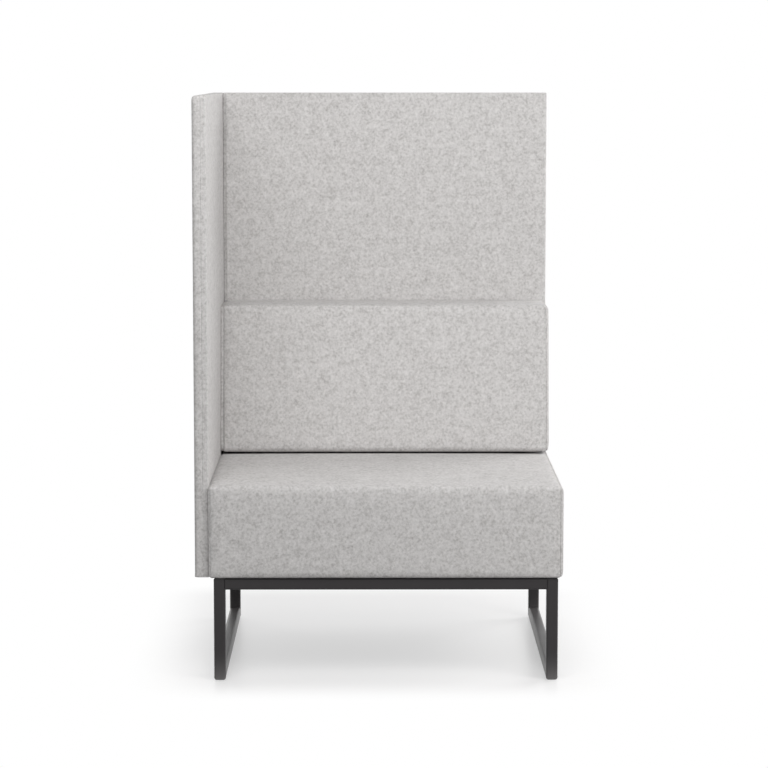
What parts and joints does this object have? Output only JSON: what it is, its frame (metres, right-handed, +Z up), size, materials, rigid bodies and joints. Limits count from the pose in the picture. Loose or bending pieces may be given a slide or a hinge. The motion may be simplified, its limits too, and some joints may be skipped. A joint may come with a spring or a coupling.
{
  "type": "sofa module",
  "caption": "High-backed upholstered sofa module with a side screen, leaning backrest and deep box seat on a square-tube sled base.",
  "frame": {"origin": "floor level, at the middle of the footprint's bounding box", "axes": "+Z up; the seat faces -Y; the side screen is on the -X side"},
  "size_m": [0.7922, 0.728, 1.25],
  "materials": {
    "melange_fabric": "heathered light grey wool felt",
    "powder_coat": "satin anthracite powder coat",
    "plywood": "sanded birch plywood",
    "beech": "planed beech",
    "foam": "open-cell polyurethane foam",
    "felt": "needled felt",
    "dust_cloth": "black nonwoven cloth",
    "spring_steel": "oil-tempered wire",
    "zinc": "zinc plated",
    "nylon": "black moulded nylon"
  },
  "bodies": {
    "root": {"back_screen_bolt_left": "zinc", "back_screen_bolt_right": "zinc", "back_screen_core": "plywood", "back_screen_cover": "melange_fabric", "back_screen_foam": "foam", "backrest_cover": "melange_fabric", "backrest_foam": "foam", "backrest_front_board": "plywood", "backrest_rear_board": "plywood", "backrest_rib_left": "plywood", "backrest_rib_middle": "plywood", "backrest_rib_right": "plywood", "backrest_screw_left": "zinc", "backrest_screw_right": "zinc", "base_bolt_front_left": "zinc", "base_bolt_front_right": "zinc", "base_bolt_rear_left": "zinc", "base_bolt_rear_right": "zinc", "base_front_cross_rail": "powder_coat", "base_front_leg_left": "powder_coat", "base_front_leg_right": "powder_coat", "base_glide_front_left": "nylon", "base_glide_front_right": "nylon", "base_glide_rear_left": "nylon", "base_glide_rear_right": "nylon", "base_plate_front_left": "powder_coat", "base_plate_front_right": "powder_coat", "base_plate_rear_left": "powder_coat", "base_plate_rear_right": "powder_coat", "base_rear_cross_rail": "powder_coat", "base_rear_leg_left": "powder_coat", "base_rear_leg_right": "powder_coat", "base_runner_left": "powder_coat", "base_runner_right": "powder_coat", "base_top_rail_left": "powder_coat", "base_top_rail_right": "powder_coat", "corner_bolt_lower": "zinc", "corner_bolt_upper": "zinc", "seat_base_ring": "plywood", "seat_cover": "melange_fabric", "seat_dust_cover": "dust_cloth", "seat_felt": "felt", "seat_foam": "foam", "seat_front_rail": "beech", "seat_left_rail": "beech", "seat_rear_rail": "beech", "seat_right_rail": "beech", "seat_spring_1": "spring_steel", "seat_spring_2": "spring_steel", "seat_spring_3": "spring_steel", "seat_spring_4": "spring_steel", "seat_spring_5": "spring_steel", "seat_spring_channel_front": "zinc", "seat_spring_channel_rear": "zinc", "side_screen_bolt_front": "zinc", "side_screen_bolt_rear": "zinc", "side_screen_core": "plywood", "side_screen_cover": "melange_fabric", "side_screen_foam": "foam"}
  },
  "joints": []
}
